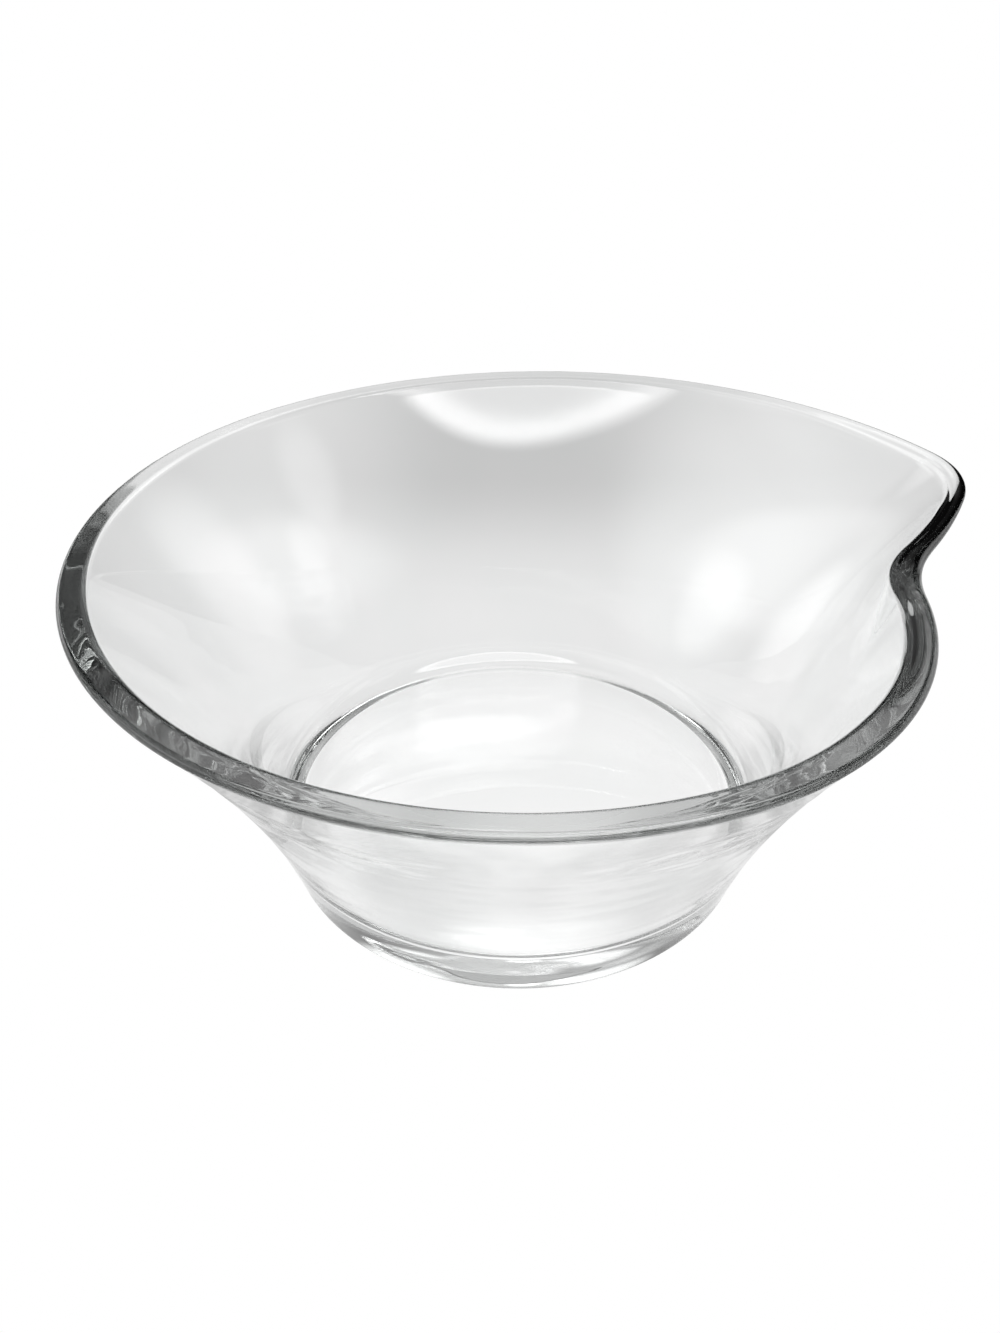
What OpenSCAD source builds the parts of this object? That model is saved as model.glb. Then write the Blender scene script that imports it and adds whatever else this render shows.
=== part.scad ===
// Clear glass salad bowl: a thick round base, a wall that leans out to a flat-topped rim,
// and a rim that curls in to a notch and sweeps out to a lip on the +X side.
// The underside is on z = 0 and the axis of the base is the Z axis.

/* [Bowl] */
// Height from the table to the top of the rim
bowl_h = 100; // [85:0.5:125]
// Outer diameter of the wall's line where it reaches the table
foot_d = 139; // [115:0.5:165]
// Outer diameter of the round part of the rim
rim_d = 237; // [200:0.5:285]
// Lean of the wall from upright where it meets the rim, in degrees
rim_lean = 36; // [30:0.5:42]

/* [Glass] */
// Thickness of the wall near the base
wall_t = 5.3; // [4:0.1:7]
// Thickness of the base under the inside floor
base_t = 13.5; // [10:0.5:18]
// Thickness of the wall at the rim
rim_t = 6.8; // [5.5:0.1:9]
// Radius of the two rounded edges of the flat rim
rim_round = 1.6; // [0.8:0.1:2.8]
// Height on the outer face where the wall begins to thicken on the inside
swell_from = 25; // [18:1:40]
// Height on the outer face where the wall reaches the rim's thickness
swell_to = 70; // [50:1:80]
// Radius of the rounded edge of the foot
foot_round = 1.5; // [1:0.25:6]
// Radius of the fillet between the inside floor and the wall
floor_fillet = 8; // [2:0.5:12]

/* [Spiral rim] */
// Radius of the arc that curls in to the notch, as a share of the round part's radius
curl_share = 0.75; // [0.68:0.005:0.88]
// Angle, anticlockwise from +X, where the curl leaves the round part
curl_from = -69; // [-85:1:-50]
// Radius of the arc that sweeps out to the lip, as a share of the round part's radius
sweep_share = 1.135; // [1.06:0.005:1.25]
// Angle where the sweep leaves the round part
sweep_from = 128; // [110:1:150]
// Angle where the step out of the notch begins
notch_at = -17; // [-25:0.5:-10]
// Angle where the step ends at the lip
lip_at = 22.5; // [16:0.5:30]
// Angle over which the bottom of the notch is rounded
notch_round = 15; // [8:0.5:20]
// Angle over which the corner of the lip is rounded
lip_round = 13; // [4:0.5:16]
// Height on the wall where the spiral begins to bend it
bend_from = 10; // [0:1:45]
// How late on its way up the wall takes the bend: 1 is straight, more is later
bend_power = 4; // [2:0.5:6]

/* [Smoothness] */
// Angle between two sections of the round part
wide_step = 4; // [2:1:6]
// Angle between two sections near the notch and the lip
fine_step = 1; // [1:0.5:2]
// Number of steps up each face of the wall
wall_steps = 12; // [8:1:16]
// Number of steps round each edge of the rim
rim_steps = 4; // [2:1:6]
// Number of steps round the foot's edge and the floor's fillet
corner_steps = 4; // [3:1:6]

/* [Hidden] */

// Middle of the rim's rounded outer edge, and the top of the wall's outer line below it
rim_r = rim_d / 2;
outer_edge = [rim_r - rim_round, bowl_h - rim_round];
top_x = outer_edge[0] + rim_round * cos(rim_lean);
top_z = outer_edge[1] - rim_round * sin(rim_lean);

// Outer line of the wall: a parabola from the foot to the top, with the rim's lean there
foot_x = foot_d / 2;
foot_slope = 2 * (top_x - foot_x) / top_z - tan(rim_lean);
flare = (tan(rim_lean) - foot_slope) / (2 * top_z);
function line_x(z) = foot_x + foot_slope * z + flare * z * z;
function lean(z) = atan(foot_slope + 2 * flare * z);

// Point at depth d in the glass, square to the outer line at height z
function inside(z, d) = [line_x(z) - d * cos(lean(z)), z + d * sin(lean(z))];

// Rises smoothly from 0 to 1 as t goes from 0 to 1
function ease(t) = let (u = min(1, max(0, t))) u * u * (3 - 2 * u);

// Thickness of the glass square to the outer line at height z
function thick(z) = wall_t + (rim_t - wall_t) * ease((z - swell_from) / (swell_to - swell_from));

// Height on the outer line from which a point at depth d lies at height h
tries = 8;
function line_z(h, d, n = tries) = n == 0 ? h : h - d * sin(lean(line_z(h, d, n - 1)));

// Heights on the outer line square to the middles of the three other rounded edges
fillet_depth = wall_t + floor_fillet;
edge_depth = rim_t - rim_round;
foot_z = line_z(foot_round, foot_round);
floor_z = line_z(base_t + floor_fillet, fillet_depth);
edge_z = line_z(bowl_h - rim_round, edge_depth);

// Point on a circle of radius r about c, at an angle from the section's outward direction
function round_point(c, r, a) = c + r * [cos(a), sin(a)];

// Section of the round part, from the underside over the rim to the inside floor
section = concat(
    [for (i = [0 : corner_steps])
        round_point(inside(foot_z, foot_round), foot_round,
            -90 + (90 - lean(foot_z)) * i / corner_steps)],
    [for (i = [1 : wall_steps - 1]) inside(foot_z + (top_z - foot_z) * i / wall_steps, 0)],
    [for (i = [0 : rim_steps])
        round_point(outer_edge, rim_round, -rim_lean + (90 + rim_lean) * i / rim_steps)],
    [for (i = [0 : rim_steps])
        round_point(inside(edge_z, edge_depth), rim_round, 90 + (90 - lean(edge_z)) * i / rim_steps)],
    [for (i = [1 : wall_steps - 1])
        let (z = edge_z + (floor_z - edge_z) * i / wall_steps)
        inside(z, thick(z))],
    [for (i = [0 : corner_steps])
        round_point(inside(floor_z, fillet_depth), floor_fillet,
            -lean(floor_z) - (90 - lean(floor_z)) * i / corner_steps)]
);

// Distance from the axis, at angle a, of an arc that touches the round part at another angle
function arc_reach(share, touch, a) =
    let (r = rim_r * share, off = rim_r - r, along = off * cos(a - touch))
    along + sqrt(along * along + r * r - off * off);

// The roundings of the step's two ends, cut down together where they would overlap
step_angle = lip_at - notch_at;
room = min(1, step_angle / (notch_round + lip_round));
notch_soft = notch_round * room;
lip_soft = lip_round * room;

// Rises from 0 at the notch to 1 at the lip on a straight ramp with rounded ends
ramp = 1 / (step_angle - (notch_soft + lip_soft) / 2);
function step_up(a) =
    let (from_notch = a - notch_at, to_lip = lip_at - a)
    from_notch <= 0 ? 0
    : to_lip <= 0 ? 1
    : from_notch < notch_soft ? ramp * from_notch * from_notch / (2 * notch_soft)
    : to_lip < lip_soft ? 1 - ramp * to_lip * to_lip / (2 * lip_soft)
    : ramp * (from_notch - notch_soft / 2);

// Distance from the axis to the rim's outer edge at angle a, which runs from -180 to 180
function rim_reach(a) =
    let (curl = arc_reach(curl_share, curl_from, a),
        sweep = arc_reach(sweep_share, sweep_from, a))
    a < curl_from || a > sweep_from ? rim_r
    : a <= notch_at ? curl
    : a >= lip_at ? sweep
    : curl + (sweep - curl) * step_up(a);

// How much of the rim's shift from the round part the wall takes at height z
function bend(z) = pow(max(0, z - bend_from) / (bowl_h - bend_from), bend_power);

// Angles of the sections: close together past both ends of the step, wide apart elsewhere
fine_margin = 6;
fine_start = notch_at - fine_margin;
fine_end = lip_at + fine_margin;
fine_count = round((fine_end - fine_start) / fine_step);
wide_count = round((360 - fine_end + fine_start) / wide_step);
angles = concat(
    [for (i = [0 : fine_count - 1]) fine_start + (fine_end - fine_start) * i / fine_count],
    [for (i = [0 : wide_count - 1]) fine_end + (360 - fine_end + fine_start) * i / wide_count]
);

// One angle in the range that the rim's description uses
function turned(a) = a > 180 ? a - 360 : a;

// One upright section of the bowl at angle a, bent out or in to the rim there
function section_at(a) =
    let (shift = rim_reach(turned(a)) - rim_r)
    [for (p = section)
        let (x = p[0] + shift * bend(p[1]))
        [x * cos(a), x * sin(a), p[1]]];

module bowl() {
    across = len(section);
    around = len(angles);
    points = [for (a = angles) each section_at(a)];
    sides = [for (j = [0 : around - 1])
        let (here = j * across, next = ((j + 1) % around) * across)
        for (i = [0 : across - 2]) each [
            [here + i, here + i + 1, next + i + 1],
            [here + i, next + i + 1, next + i]
        ]];
    underside = [for (j = [0 : around - 1]) j * across];
    floor_disc = [for (j = [around - 1 : -1 : 0]) j * across + across - 1];
    color([0.90, 0.95, 0.94, 0.35])
        polyhedron(points, concat(sides, [underside, floor_disc]), convexity = 6);
}

bowl();
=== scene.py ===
"""Looks of a clear glass salad bowl with a flat-topped, spiral rim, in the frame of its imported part.

Sizes are in metres and angles in radians, apart from the lights of the dome, which are in degrees.
"""
import logging
import math
from dataclasses import dataclass, field
from enum import Enum
from typing import Any

import bpy
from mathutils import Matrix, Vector, noise


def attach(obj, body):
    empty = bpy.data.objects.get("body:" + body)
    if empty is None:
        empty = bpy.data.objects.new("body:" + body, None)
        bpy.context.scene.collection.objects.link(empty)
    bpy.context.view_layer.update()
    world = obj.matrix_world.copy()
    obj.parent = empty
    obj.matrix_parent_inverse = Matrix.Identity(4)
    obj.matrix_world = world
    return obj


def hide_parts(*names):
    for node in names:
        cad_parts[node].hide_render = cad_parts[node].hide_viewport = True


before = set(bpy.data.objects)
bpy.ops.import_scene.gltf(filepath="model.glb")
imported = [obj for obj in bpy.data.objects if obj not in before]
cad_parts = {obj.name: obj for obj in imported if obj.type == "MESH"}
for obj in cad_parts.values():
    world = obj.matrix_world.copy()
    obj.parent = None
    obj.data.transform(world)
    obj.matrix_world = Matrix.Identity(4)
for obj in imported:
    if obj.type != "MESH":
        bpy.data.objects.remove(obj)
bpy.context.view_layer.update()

log = logging.getLogger("salad_bowl")
PHOTO_HEIGHT = 1333
MM = 0.001


def clamp(share: float) -> float:
    """Keeps a share between 0 and 1."""
    return min(1.0, max(0.0, share))


def ease(share: float) -> float:
    """Rises smoothly from 0 to 1 as a share does."""
    share = clamp(share)
    return share ** 2 * (3 - 2 * share)


class Sum(Enum):
    """What a Math node does with its two values."""

    ADD = "ADD"
    MULTIPLY = "MULTIPLY"
    DIVIDE = "DIVIDE"


class Socket:
    """An output of a shader node, with arithmetic that adds Math nodes."""

    def __init__(self, sheet: "NodeSheet", output: bpy.types.NodeSocket) -> None:
        """Wraps a node's output.

        Args:
            sheet: The node sheet that the node is on.
            output: The output socket.
        """
        self.sheet = sheet
        self.output = output

    def _math(self, operation: Sum, first: Any, second: Any) -> "Socket":
        """Adds one Math node.

        Args:
            operation: The node's operation.
            first: The first value or socket.
            second: The second value or socket.

        Returns:
            The node's output.
        """
        return self.sheet.add("ShaderNodeMath", {"operation": operation.value},
                              {0: first, 1: second})

    def __add__(self, other: Any) -> "Socket":
        """This socket plus a value or socket."""
        return self._math(Sum.ADD, self, other)

    def __radd__(self, other: Any) -> "Socket":
        """A value plus this socket."""
        return self._math(Sum.ADD, other, self)

    def __mul__(self, other: Any) -> "Socket":
        """This socket times a value or socket."""
        return self._math(Sum.MULTIPLY, self, other)

    def __rmul__(self, other: Any) -> "Socket":
        """A value times this socket."""
        return self._math(Sum.MULTIPLY, other, self)

    def __truediv__(self, other: Any) -> "Socket":
        """This socket over a value or socket."""
        return self._math(Sum.DIVIDE, self, other)

    def __rtruediv__(self, other: Any) -> "Socket":
        """A value over this socket."""
        return self._math(Sum.DIVIDE, other, self)

    def ramp(self, low: float, high: float, start: float = 0.0, end: float = 1.0) -> "Socket":
        """Maps this socket smoothly from one range to another.

        Args:
            low: The value that gives start.
            high: The value that gives end.
            start: The result at and before low.
            end: The result at and after high.

        Returns:
            The mapped value.
        """
        return self.sheet.add(
            "ShaderNodeMapRange", {"interpolation_type": "SMOOTHSTEP"},
            {"Value": self, "From Min": low, "From Max": high, "To Min": start, "To Max": end})


class NodeSheet:
    """The node tree of a material or a world, with one method that adds any node."""

    def __init__(self, owner: bpy.types.ID) -> None:
        """Clears the owner's node tree.

        Args:
            owner: The material or world.
        """
        owner.use_nodes = True
        self.tree = owner.node_tree
        self.tree.nodes.clear()

    def add(self, kind: str, settings: dict[str, Any] | None = None,
            inputs: dict[Any, Any] | None = None, output: Any = 0) -> Socket:
        """Adds a node, sets it and links its inputs.

        Args:
            kind: The node's type name.
            settings: Attributes of the node, set before its inputs.
            inputs: Values or sockets, by the name or number of the input.
            output: The name or number of the output to return.

        Returns:
            The chosen output.
        """
        node = self.tree.nodes.new(kind)
        for name, value in (settings or {}).items():
            setattr(node, name, value)
        for name, value in (inputs or {}).items():
            if isinstance(value, Socket):
                self.tree.links.new(value.output, node.inputs[name])
            else:
                node.inputs[name].default_value = value
        return Socket(self, node.outputs[output] if len(node.outputs) else None)


@dataclass(frozen=True)
class ClearGlass:
    """Clear, fire-polished glass with a faint unevenness of its surface."""

    name: str = "clear_glass"
    pale: tuple[float, float, float, float] = (0.985, 0.992, 0.990, 1.0)
    clear: tuple[float, float, float, float] = (1.0, 1.0, 1.0, 1.0)
    bend: float = 1.5
    grey: tuple[float, float, float, float] = (0.0, 0.02, 0.01, 1.0)
    dimming: float = 5.0
    cloud_scale: float = 26.0
    cloud_detail: float = 3.0
    clear_cloud: tuple[float, float] = (0.35, 0.65)
    dull_cloud: tuple[float, float] = (0.45, 0.75)
    smooth: float = 0.0
    dull: float = 0.012

    def material(self) -> bpy.types.Material:
        """Makes the material.

        Returns:
            The glass.
        """
        glass = bpy.data.materials.new(self.name)
        sheet = NodeSheet(glass)
        place = sheet.add("ShaderNodeTexCoord", output="Object")
        cloud = sheet.add("ShaderNodeTexNoise", {"noise_dimensions": "3D"},
                          {"Vector": place, "Scale": self.cloud_scale,
                           "Detail": self.cloud_detail})
        tint = sheet.add("ShaderNodeMix", {"data_type": "RGBA"},
                         {"Factor": cloud.ramp(*self.clear_cloud), "A": self.pale,
                          "B": self.clear}, output="Result")
        polish = cloud.ramp(*self.dull_cloud, self.smooth, self.dull)
        shader = sheet.add(
            "ShaderNodeBsdfPrincipled", None,
            {"Base Color": tint, "Roughness": polish, "IOR": self.bend,
             "Transmission Weight": 1.0})
        body = sheet.add("ShaderNodeVolumeAbsorption", None,
                         {"Color": self.grey, "Density": self.dimming})
        sheet.add("ShaderNodeOutputMaterial", None, {"Surface": shader, "Volume": body})
        return glass


@dataclass(frozen=True)
class PaintedLightPool:
    """A round patch of painted light, where the floor seen through the glass is brighter, standing for
    light that the bowl throws on it; it fades between the two distances of its reach.
    """

    middle: tuple[float, float, float]
    reach: tuple[float, float]
    strength: float


@dataclass(frozen=True)
class PaleFloor:
    """A white floor that gives off its own light, like a light table. Seen directly it is plain white.
    Seen through the glass it carries painted light and painted shade: brightest under the bowl and
    dimmer round it, with painted shade behind the bowl and far out at the sides, and a streaked painted
    shadow ring round the foot.
    """

    name: str = "pale_floor"
    seen: tuple[float, float, float, float] = (1.0, 1.0, 1.0, 1.0)
    strength: float = 0.88
    # Painted light: seen through the glass, the floor is brighter under the bowl, fading out across the
    # ring given next
    under: float = 0.09
    under_light_ring: tuple[float, float] = (60.0 * MM, 80.0 * MM)
    # Painted shade: seen through the glass, the floor is darker behind the bowl
    back_shade: float = -0.10
    back_shade_line: tuple[float, float] = (165.0 * MM, 250.0 * MM)
    shade: float = -0.16
    shade_line: tuple[float, float] = (110.0 * MM, 250.0 * MM)
    shade_side: tuple[float, float] = (20.0 * MM, 125.0 * MM)
    # Painted shade: seen through the glass, the floor is darker far out at the two sides
    far: float = -0.05
    far_shade_side: tuple[float, float] = (140.0 * MM, 190.0 * MM)
    # Painted shadow: a ring round the foot, full in front of the bowl and fading towards its rear,
    # broken into streaks by the noise below
    ring: float = -0.34
    ring_shadow_start: tuple[float, float] = (70.0 * MM, 80.0 * MM)
    ring_shadow_end: tuple[float, float] = (104.0 * MM, 120.0 * MM)
    ring_shadow_line: tuple[float, float] = (0.0, 60.0 * MM)
    streak_out: float = 260.0
    streak_round: float = 2.5
    streak_detail: float = 2.0
    streak_range: tuple[float, float] = (0.3, 0.7)
    # Painted pools of light that the bowl throws on the floor, seen only through the glass
    painted_light_pools: tuple[PaintedLightPool, ...] = (
        PaintedLightPool((-95.0 * MM, 163.0 * MM, 0.0), (20.0 * MM, 55.0 * MM), 0.09),
        PaintedLightPool((125.0 * MM, 150.0 * MM, 0.0), (38.0 * MM, 62.0 * MM), 0.08),
        PaintedLightPool((5.0 * MM, -56.0 * MM, 0.0), (8.0 * MM, 34.0 * MM), 0.24),
    )

    def material(self) -> bpy.types.Material:
        """Makes the material.

        Returns:
            The floor's light.
        """
        paper = bpy.data.materials.new(self.name)
        sheet = NodeSheet(paper)
        place = sheet.add("ShaderNodeTexCoord", output="Object")
        away = sheet.add("ShaderNodeVectorMath", {"operation": "LENGTH"}, {0: place},
                         output="Value")
        across = sheet.add("ShaderNodeSeparateXYZ", None, {0: place}, output="X")
        behind = sheet.add("ShaderNodeSeparateXYZ", None, {0: place}, output="Y")
        side = sheet.add("ShaderNodeMath", {"operation": "ABSOLUTE"}, {0: across})
        outward = self.streak_round / away
        spread = sheet.add("ShaderNodeCombineXYZ", None,
                           {0: across * outward, 1: behind * outward, 2: away * self.streak_out})
        streak = sheet.add("ShaderNodeTexNoise", {"noise_dimensions": "3D"},
                           {"Vector": spread, "Scale": 1.0, "Detail": self.streak_detail})
        painted_light_pools = [sheet.add("ShaderNodeVectorMath", {"operation": "DISTANCE"},
                           {0: place, 1: light_pool.middle}, output="Value")
                 .ramp(*light_pool.reach, light_pool.strength, 0.0) for light_pool in self.painted_light_pools]
        # The floor's light as the glass shows it: a light-table base, with painted light under the bowl
        # and in pools, and painted shade behind, at the far sides and in a streaked ring round the foot
        light = (self.strength + sum(painted_light_pools) + away.ramp(*self.under_light_ring, self.under, 0.0)
                 + behind.ramp(*self.back_shade_line, 0.0, self.back_shade)
                 + behind.ramp(*self.shade_line, 0.0, self.shade)
                 * side.ramp(*self.shade_side, 1.0, 0.0)
                 + self.ring * away.ramp(*self.ring_shadow_start) * away.ramp(*self.ring_shadow_end, 1.0, 0.0)
                 * behind.ramp(*self.ring_shadow_line, 1.0, 0.0) * streak.ramp(*self.streak_range)
                 + side.ramp(*self.far_shade_side, 0.0, self.far))
        # Through the glass the floor shows this painted light and shade; seen directly it is plain
        # white
        through = sheet.add("ShaderNodeEmission", None, {"Color": light})
        direct = sheet.add("ShaderNodeEmission", None, {"Color": self.seen})
        path = sheet.add("ShaderNodeLightPath", output="Is Camera Ray")
        mixed = sheet.add("ShaderNodeMixShader", None, {0: path, 1: through, 2: direct})
        sheet.add("ShaderNodeOutputMaterial", None, {"Surface": mixed})
        return paper


@dataclass(frozen=True)
class WallSection:
    """The upright section of the bowl's round part, from the underside over the rim to the floor."""

    height: float = 100.0 * MM
    foot_radius: float = 69.5 * MM
    rim_radius: float = 118.5 * MM
    rim_lean: float = math.radians(36.0)
    wall: float = 5.3 * MM
    base: float = 13.5 * MM
    rim: float = 6.8 * MM
    outer_round: float = 1.4 * MM
    inner_round: float = 2.4 * MM
    thicken_from: float = 25.0 * MM
    thicken_to: float = 70.0 * MM
    foot_round: float = 1.5 * MM
    floor_fillet: float = 8.0 * MM
    wall_rows: int = 88
    inner_rows: int = 48
    edge_rows: int = 9
    flat_rows: int = 8
    corner_rows: int = 7
    disc_rows: int = 4
    floor_rows: int = 32
    settle_rounds: int = 8

    @property
    def top(self) -> tuple[float, float]:
        """Distance out and height of the top of the outer face, where its edge starts to round."""
        edge = self.outer_round
        return (self.rim_radius - edge + edge * math.cos(self.rim_lean),
                self.height - edge - edge * math.sin(self.rim_lean))

    @property
    def bow(self) -> tuple[float, float]:
        """The two numbers of the outer line.

        Returns:
            Its slope at the table, and half of the slope's growth with height.
        """
        out, up = self.top
        steep = math.tan(self.rim_lean)
        slope = 2 * (out - self.foot_radius) / up - steep
        return slope, (steep - slope) / (2 * up)

    def lean(self, up: float) -> float:
        """Lean of the outer line from upright at a height."""
        slope, flare = self.bow
        return math.atan(slope + 2 * flare * up)

    def inside(self, up: float, depth: float) -> tuple[float, float]:
        """A point at a depth in the glass, square to the outer line.

        Args:
            up: Height on the outer line.
            depth: Distance from the outer line into the glass.

        Returns:
            The point's distance from the axis and its height.
        """
        slope, flare = self.bow
        lean = self.lean(up)
        out = self.foot_radius + slope * up + flare * up * up
        return out - depth * math.cos(lean), up + depth * math.sin(lean)

    @property
    def floor_radius(self) -> float:
        """Radius of the flat inside floor."""
        depth = self.wall + self.floor_fillet
        return self.inside(self.line_height(self.base + self.floor_fillet, depth), depth)[0]

    def inner(self, up: float) -> tuple[float, float]:
        """A point of the inner face: the wall thickens towards the rim."""
        share = ease((up - self.thicken_from) / (self.thicken_to - self.thicken_from))
        return self.inside(up, self.wall + (self.rim - self.wall) * share)

    def line_height(self, up: float, depth: float) -> float:
        """Height on the outer line from which a point at a depth lies at a height.

        Args:
            up: The point's height.
            depth: The point's depth in the glass.

        Returns:
            The height on the outer line.
        """
        line = up
        for _ in range(self.settle_rounds):
            line = up - depth * math.sin(self.lean(line))
        return line

    @staticmethod
    def arc(middle: tuple[float, float], radius: float, start: float, end: float,
            rows: int) -> list[tuple[float, float]]:
        """Points round an arc.

        Args:
            middle: Distance out and height of the arc's middle.
            radius: The arc's radius.
            start: Angle of the first point from the outward direction.
            end: Angle of the last point.
            rows: Number of steps.

        Returns:
            The points, both ends included.
        """
        angles = [start + (end - start) * i / rows for i in range(rows + 1)]
        return [(middle[0] + radius * math.cos(a), middle[1] + radius * math.sin(a))
                for a in angles]

    def points(self) -> list[tuple[float, float]]:
        """The whole section.

        Returns:
            Distances from the axis and heights, from the underside's middle to the floor's.
        """
        right = math.pi / 2
        depth = self.wall + self.floor_fillet
        foot = self.line_height(self.foot_round, self.foot_round)
        floor = self.line_height(self.base + self.floor_fillet, depth)
        edge = self.arc(self.inside(foot, self.foot_round), self.foot_round, -right,
                        -self.lean(foot), self.corner_rows)
        wall = [self.inside(foot + (self.top[1] - foot) * i / self.wall_rows, 0.0)
                for i in range(1, self.wall_rows)]
        outward = self.rim_radius - self.outer_round
        rise = self.line_height(self.height - self.inner_round, self.rim - self.inner_round)
        inward = self.inside(rise, self.rim - self.inner_round)
        rim = self.arc((outward, self.height - self.outer_round), self.outer_round,
                       -self.rim_lean, right, self.edge_rows)
        rim += [(outward + (inward[0] - outward) * i / self.flat_rows, self.height)
                for i in range(1, self.flat_rows)]
        rim += self.arc(inward, self.inner_round, right, math.pi - self.lean(rise),
                        self.edge_rows)
        inner = [self.inner(rise + (floor - rise) * i / self.inner_rows)
                 for i in range(1, self.inner_rows)]
        fillet = self.arc(self.inside(floor, depth), self.floor_fillet, -self.lean(floor), -right,
                          self.corner_rows)
        under = [(edge[0][0] * i / self.disc_rows, 0.0) for i in range(self.disc_rows)]
        disc = [(fillet[-1][0] * i / self.floor_rows, self.base)
                for i in range(self.floor_rows - 1, -1, -1)]
        return under + edge + wall + rim + inner + fillet + disc


@dataclass(frozen=True)
class SpiralRim:
    """How the rim leaves the round: it curls in to a notch and sweeps out to a lip.

    Inside both, the inner edge of its flat top slopes down.
    """

    curl_share: float = 0.75
    curl_from: float = math.radians(-69.0)
    sweep_share: float = 1.135
    sweep_from: float = math.radians(128.0)
    notch_at: float = math.radians(-17.0)
    lip_at: float = math.radians(22.5)
    notch_round: float = math.radians(15.0)
    lip_round: float = math.radians(13.0)
    bend_from: float = 10.0 * MM
    bend_power: float = 4.0
    fold_drop: float = 1.0 * MM
    fold_power: float = 5.0
    fold_from: float = math.radians(-50.0)
    fold_to: float = math.radians(46.0)
    fold_fade: float = math.radians(20.0)
    fold_low: float = 78.0 * MM

    @staticmethod
    def arc_reach(radius: float, share: float, touch: float, angle: float) -> float:
        """Distance from the axis to an arc that touches the round rim.

        Args:
            radius: Radius of the round rim.
            share: The arc's radius as a share of it.
            touch: Angle where the arc touches it.
            angle: Angle at which to measure.

        Returns:
            The distance.
        """
        off = radius * (1 - share)
        along = off * math.cos(angle - touch)
        return along + math.sqrt(along ** 2 + (radius * share) ** 2 - off ** 2)

    def step_up(self, angle: float) -> float:
        """Share of the way from the curl to the sweep, on a ramp with rounded ends.

        Args:
            angle: Angle from +X.

        Returns:
            The share, 0 at the notch and 1 at the lip.
        """
        ramp = 1 / (self.lip_at - self.notch_at - (self.notch_round + self.lip_round) / 2)
        before, after = angle - self.notch_at, self.lip_at - angle
        if before <= 0 or after <= 0:
            return 0.0 if before <= 0 else 1.0
        if before < self.notch_round:
            return ramp * before ** 2 / (2 * self.notch_round)
        if after < self.lip_round:
            return 1 - ramp * after ** 2 / (2 * self.lip_round)
        return ramp * (before - self.notch_round / 2)

    def shift(self, radius: float, angle: float) -> float:
        """How far the rim lies outside the round at an angle.

        Args:
            radius: Radius of the round rim.
            angle: Angle from +X, from -pi to pi.

        Returns:
            The shift, negative in the notch.
        """
        if angle < self.curl_from or angle > self.sweep_from:
            return 0.0
        curl = self.arc_reach(radius, self.curl_share, self.curl_from, angle)
        sweep = self.arc_reach(radius, self.sweep_share, self.sweep_from, angle)
        return curl + (sweep - curl) * self.step_up(angle) - radius

    def fold(self, angle: float, up: float, rim_up: float) -> float:
        """Share of the inner edge's slope inside the notch and the lip at an angle and a height.

        Args:
            angle: Angle from +X, from -pi to pi.
            up: Height on the wall.
            rim_up: Height of the rim.

        Returns:
            The share, from 0 to 1.
        """
        side = min(angle - self.fold_from, self.fold_to - angle) / self.fold_fade
        level = (up - self.fold_low) / (rim_up - self.fold_low)
        return ease(side) * ease(level)

    def bend(self, up: float, rim_up: float) -> float:
        """Share of the rim's shift that the wall takes at a height."""
        return (max(0.0, up - self.bend_from) / (rim_up - self.bend_from)) ** self.bend_power


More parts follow.
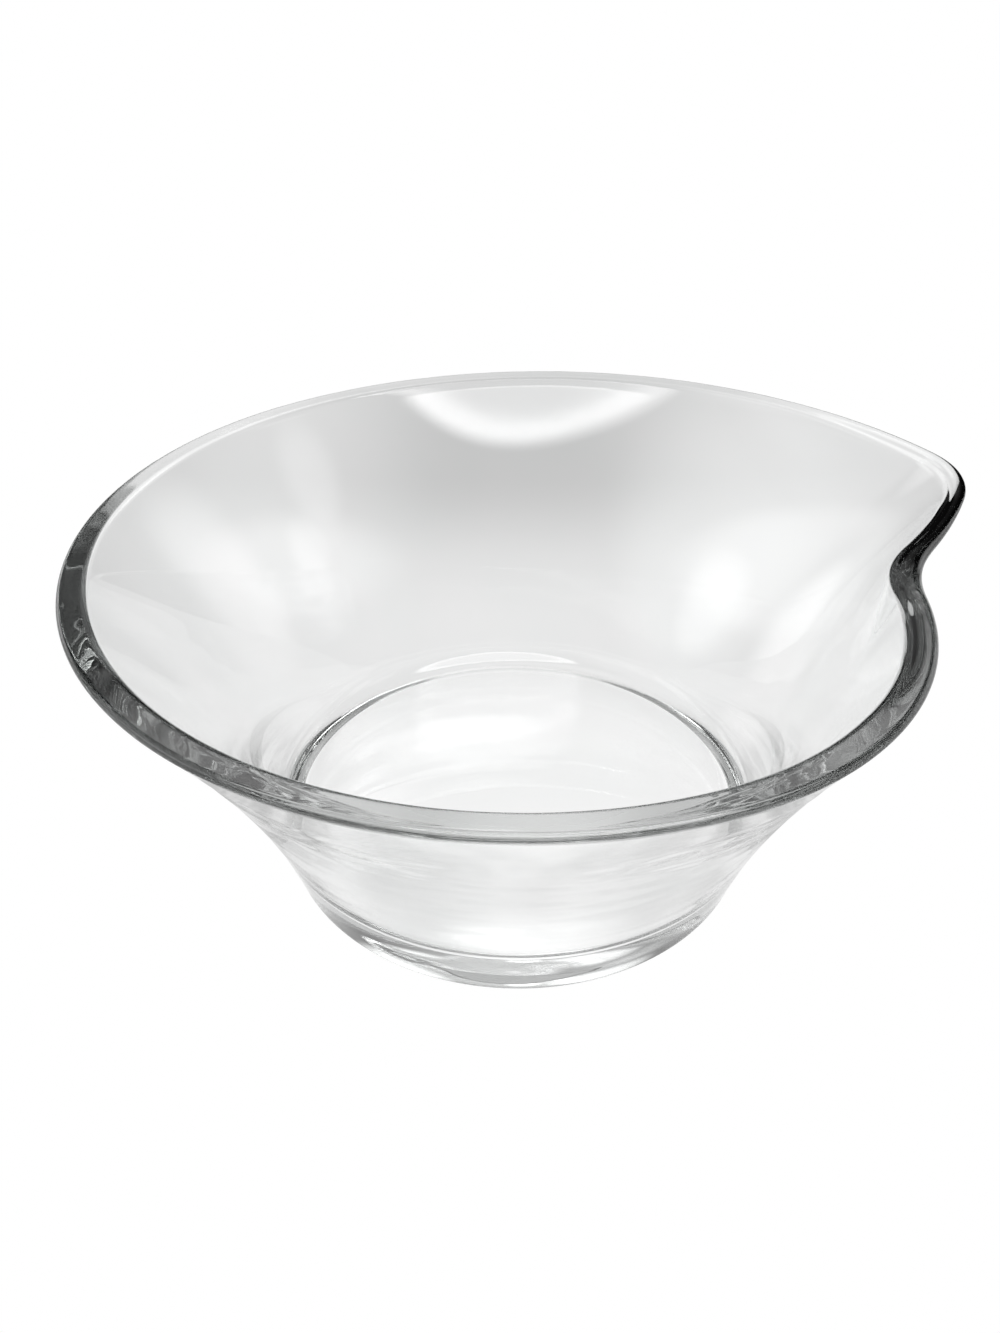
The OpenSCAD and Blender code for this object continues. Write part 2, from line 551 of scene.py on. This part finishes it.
@dataclass(frozen=True)
class SpinRipples:
    """Relief that working the hot glass leaves on the outer wall, the floor and the rim's top."""

    streak_depth: float = 0.06 * MM
    streak_along: float = 14.0
    streak_up: float = 190.0
    streak_low: float = 12.0 * MM
    streak_high: float = 74.0 * MM
    swirl_depth: float = 0.22 * MM
    swirl_along: float = 40.0
    swirl_up: float = 130.0
    swirl_low: float = 0.0
    swirl_high: float = 24.0 * MM
    curl_depth: float = 0.60 * MM
    curl_along: float = 90.0
    curl_up: float = 230.0
    curl_low: float = 60.0 * MM
    curl_high: float = 83.0 * MM
    curl_turn: float = math.radians(31.0)
    curl_reach: float = math.radians(25.0)
    fade: float = 8.0 * MM
    floor_depth: float = 0.03 * MM
    floor_out: float = 110.0
    floor_round: float = 12.0
    rim_depth: float = 0.05 * MM
    rim_along: float = 150.0
    rim_band: float = 1.2 * MM
    front: float = -math.pi / 2
    front_reach: float = math.radians(80.0)
    calm: float = 0.25

    def share(self, up: float, low: float, high: float) -> float:
        """How much of a band's relief a height has, fading out at both ends."""
        return clamp(min(up - low, high - up) / self.fade)

    @staticmethod
    def wave(spot: Vector, along: float, up: float) -> float:
        """Height of a noise at a place, by how often it changes along the wall and up it."""
        return noise.noise(Vector((spot.x * along, spot.y * along, spot.z * up)))

    def floor(self, spot: Vector) -> float:
        """How far the inside floor stands up at a place, in faint rings."""
        out = math.hypot(spot.x, spot.y)
        return self.floor_depth * noise.noise(Vector((spot.x * self.floor_round,
                                                      spot.y * self.floor_round,
                                                      out * self.floor_out)))

    def rim(self, spot: Vector, below: float) -> float:
        """How far the rim's top stands up at a place, by its distance below the top."""
        share = max(0.0, 1.0 - below / self.rim_band)
        return self.rim_depth * share * noise.noise(spot * self.rim_along)

    def turn(self, spot: Vector) -> float:
        """Angle of a place from the front, to either side."""
        return abs(math.remainder(math.atan2(spot.y, spot.x) - self.front, 2 * math.pi))

    def curl(self, spot: Vector) -> float:
        """How far the small curls under the rim, beside the front, stand out at a place.

        Args:
            spot: A point of the outer face.

        Returns:
            The distance.
        """
        side = max(0.0, 1 - abs(self.turn(spot) - self.curl_turn) / self.curl_reach)
        wave = self.wave(spot, self.curl_along, self.curl_up)
        return self.curl_depth * wave * side * self.share(spot.z, self.curl_low, self.curl_high)

    def strong(self, spot: Vector) -> float:
        """How much of the relief an angle has: all of it at the front, less elsewhere."""
        turn = clamp(self.turn(spot) / self.front_reach) * math.pi / 2
        return self.calm + (1 - self.calm) * max(0.0, math.cos(turn))

    def height(self, spot: Vector) -> float:
        """How far the outer face stands out at a place.

        Args:
            spot: A point of the face.

        Returns:
            The distance.
        """
        streak = self.wave(spot, self.streak_along, self.streak_up)
        swirl = self.wave(spot, self.swirl_along, self.swirl_up)
        relief = (self.streak_depth * streak * self.share(spot.z, self.streak_low, self.streak_high)
                  + self.swirl_depth * swirl
                  * self.share(spot.z, self.swirl_low, self.swirl_high))
        return relief * self.strong(spot) + self.curl(spot)


@dataclass
class Bowl:
    """The whole bowl, one piece of glass."""

    section: WallSection = field(default_factory=WallSection)
    rim: SpiralRim = field(default_factory=SpiralRim)
    ripples: SpinRipples = field(default_factory=SpinRipples)
    glass: ClearGlass = field(default_factory=ClearGlass)
    name: str = "bowl_glass"
    columns: int = 440
    merge: float = 0.01 * MM

    def draw_section(self) -> None:
        """Draws the section as a chain of edges, extruded point by point, in edit mode."""
        points = self.section.points()
        bpy.ops.mesh.primitive_plane_add(size=self.section.wall, location=(0.0, 0.0, 0.0))
        bpy.ops.object.mode_set(mode="EDIT")
        bpy.ops.mesh.select_all(action="SELECT")
        bpy.ops.mesh.merge(type="CENTER")
        for here, there in zip(points, points[1:]):
            step = (there[0] - here[0], 0.0, there[1] - here[1])
            bpy.ops.mesh.extrude_region_move(TRANSFORM_OT_translate={"value": step})

    def spin_section(self) -> None:
        """Spins the section round the axis and closes its seam and its two poles."""
        bpy.ops.mesh.select_all(action="SELECT")
        bpy.ops.mesh.spin(steps=self.columns, angle=2 * math.pi, center=(0.0, 0.0, 0.0),
                          axis=(0.0, 0.0, 1.0))
        bpy.ops.mesh.select_all(action="SELECT")
        bpy.ops.mesh.remove_doubles(threshold=self.merge)
        bpy.ops.mesh.normals_make_consistent(inside=False)
        bpy.ops.object.mode_set(mode="OBJECT")

    def work_wall(self, bowl: bpy.types.Object) -> None:
        """Bends the wall to the spiral rim, slopes its inner edge and gives the glass its relief.

        Args:
            bowl: The spun bowl.
        """
        slope, flare = self.section.bow
        middle = self.section.wall / 2
        for vertex in bowl.data.vertices:
            spot = vertex.co
            out = math.hypot(spot.x, spot.y)
            if out < self.merge:
                continue
            if abs(spot.z - self.section.base) < self.merge and out < self.section.floor_radius:
                spot.z += self.ripples.floor(spot)
                continue
            line = self.section.foot_radius + slope * spot.z + flare * spot.z ** 2
            angle = math.atan2(spot.y, spot.x)
            shift = self.rim.shift(self.section.rim_radius, angle)
            reach = out + shift * self.rim.bend(spot.z, self.section.height)
            if out > line - middle:
                reach += self.ripples.height(spot)
            lift = self.ripples.rim(spot, self.section.height - spot.z)
            inner = clamp((line - out) / self.section.rim)
            fold = self.rim.fold(angle, spot.z, self.section.height)
            lift -= self.rim.fold_drop * fold * inner ** self.rim.fold_power
            vertex.co = (spot.x * reach / out, spot.y * reach / out, spot.z + lift)
        bowl.data.update()

    def build(self) -> bpy.types.Object:
        """Models the bowl, dresses it and puts it in the frame.

        Returns:
            The finished piece.
        """
        bpy.ops.object.select_all(action="DESELECT")
        self.draw_section()
        self.spin_section()
        bowl = bpy.context.object
        bowl.name = bowl.data.name = self.name
        self.work_wall(bowl)
        bpy.ops.object.shade_smooth()
        bowl.data.materials.append(self.glass.material())
        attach(bowl, "root")
        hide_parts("bowl")
        return bowl


@dataclass(frozen=True)
class SoftLight:
    """A round, soft-edged light on the dome, with its angles in degrees."""

    turn: float
    rise: float
    size: float
    edge: float
    strength: float

    @property
    def way(self) -> tuple[float, float, float]:
        """Direction to the light: turned from the front towards +X, and raised.

        Returns:
            The direction, of length 1.
        """
        turn, rise = math.radians(self.turn), math.radians(self.rise)
        level = math.cos(rise)
        return math.sin(turn) * level, -math.cos(turn) * level, math.sin(rise)

    @property
    def fade(self) -> tuple[float, float]:
        """Cosines of the angles from its middle at which it is gone and at which it is full."""
        size, edge = math.radians(self.size), math.radians(self.edge)
        return math.cos(size + edge), math.cos(size - edge)


@dataclass(frozen=True)
class SoftDome:
    """A dim room with a ring-shaped soft light above the front and smaller ones round it."""

    name: str = "soft_dome"
    strength: float = 0.8
    dim: float = 0.02
    lights: tuple[SoftLight, ...] = (
        # A disc above the front, and what its middle has less
        SoftLight(20.0, 69.5, 24.5, 2.0, 7.0),
        SoftLight(20.0, 69.5, 19.5, 3.0, -3.6),
        # A low, wide fill from the front
        SoftLight(0.0, 5.0, 45.0, 25.0, 0.3),
        # Behind the bowl
        SoftLight(181.0, 45.5, 1.8, 1.5, 3.0),
        SoftLight(180.0, 36.0, 12.0, 10.0, 0.6),
        SoftLight(180.0, 60.0, 18.0, 10.0, 1.0),
        # Behind it to the left and the right
        SoftLight(-128.0, 62.0, 13.0, 9.0, 1.2),
        SoftLight(155.0, 38.0, 5.0, 6.0, 3.0),
        SoftLight(-162.0, 42.0, 6.0, 5.0, 2.5),
        # Wide fills at the two sides
        SoftLight(80.0, 30.0, 28.0, 14.0, 0.4),
        SoftLight(-80.0, 30.0, 28.0, 14.0, 1.4),
        # Small lights low at the two sides
        SoftLight(76.0, 31.0, 6.0, 4.0, 1.2),
        SoftLight(84.0, 16.0, 5.0, 4.0, 1.4),
        SoftLight(-85.0, 15.0, 9.0, 6.0, 1.4),
        SoftLight(119.0, 8.0, 11.0, 8.0, 1.5),
        SoftLight(-130.0, 5.0, 12.0, 9.0, 2.4),
    )
    seen: tuple[float, float, float, float] = (1.0, 1.0, 1.0, 1.0)

    def world(self) -> bpy.types.World:
        """Makes the world.

        Returns:
            The world of the scene.
        """
        dome = bpy.data.worlds.new(self.name)
        sheet = NodeSheet(dome)
        way = sheet.add("ShaderNodeTexCoord", output="Generated")
        total: Any = self.dim
        for light in self.lights:
            near = sheet.add("ShaderNodeVectorMath", {"operation": "DOT_PRODUCT"},
                             {0: way, 1: light.way}, output="Value")
            total = total + near.ramp(*light.fade, 0.0, light.strength)
        soft = sheet.add("ShaderNodeBackground", None,
                         {"Color": total, "Strength": self.strength})
        plain = sheet.add("ShaderNodeBackground", None, {"Color": self.seen})
        path = sheet.add("ShaderNodeLightPath", output="Is Camera Ray")
        mixed = sheet.add("ShaderNodeMixShader", None, {0: path, 1: soft, 2: plain})
        sheet.add("ShaderNodeOutputWorld", None, {"Surface": mixed})
        return dome


@dataclass
class Studio:
    """The floor, the light and the camera."""

    floor: PaleFloor = field(default_factory=PaleFloor)
    dome: SoftDome = field(default_factory=SoftDome)
    floor_size: float = 12.0
    floor_drop: float = 0.1 * MM
    aim: tuple[float, float, float] = (-4.97 * MM, 0.0, 56.91 * MM)
    distance: float = 339.88 * MM
    pitch: float = math.radians(34.445)
    focal_pixels: float = 1180.24
    sensor: float = 36.0
    bounces: int = 40

    def lay_floor(self) -> bpy.types.Object:
        """Lays the floor just under the foot.

        Returns:
            The floor.
        """
        bpy.ops.object.select_all(action="DESELECT")
        bpy.ops.mesh.primitive_plane_add(size=self.floor_size,
                                         location=(0.0, 0.0, -self.floor_drop))
        floor = bpy.context.object
        floor.name = "floor"
        floor.data.materials.append(self.floor.material())
        return floor

    def place_camera(self) -> bpy.types.Object:
        """Places the camera at the photograph's viewing angle.

        Returns:
            The camera.
        """
        ahead = Vector((0.0, math.cos(self.pitch), -math.sin(self.pitch)))
        lens = bpy.data.cameras.new("camera")
        lens.sensor_fit = "AUTO"
        lens.sensor_width = self.sensor
        lens.lens = self.sensor * self.focal_pixels / PHOTO_HEIGHT
        camera = bpy.data.objects.new("camera", lens)
        camera.location = Vector(self.aim) - self.distance * ahead
        camera.rotation_euler = (math.pi / 2 - self.pitch, 0.0, 0.0)
        bpy.context.scene.collection.objects.link(camera)
        bpy.context.scene.camera = camera
        return camera

    def build(self) -> None:
        """Sets up everything round the bowl."""
        self.lay_floor()
        bpy.context.scene.world = self.dome.world()
        self.place_camera()
        bpy.context.scene.view_settings.view_transform = "Standard"
        bpy.context.scene.cycles.max_bounces = self.bounces
        bpy.context.scene.cycles.glossy_bounces = self.bounces
        bpy.context.scene.cycles.transmission_bounces = self.bounces


def main() -> None:
    """Builds the bowl and its studio."""
    logging.basicConfig(level=logging.INFO, format="%(name)s: %(message)s")
    bowl = Bowl().build()
    log.info("%s has %d faces", bowl.name, len(bowl.data.polygons))
    Studio().build()
    log.info("the studio is set up")


if __name__ == "__main__":
    main()
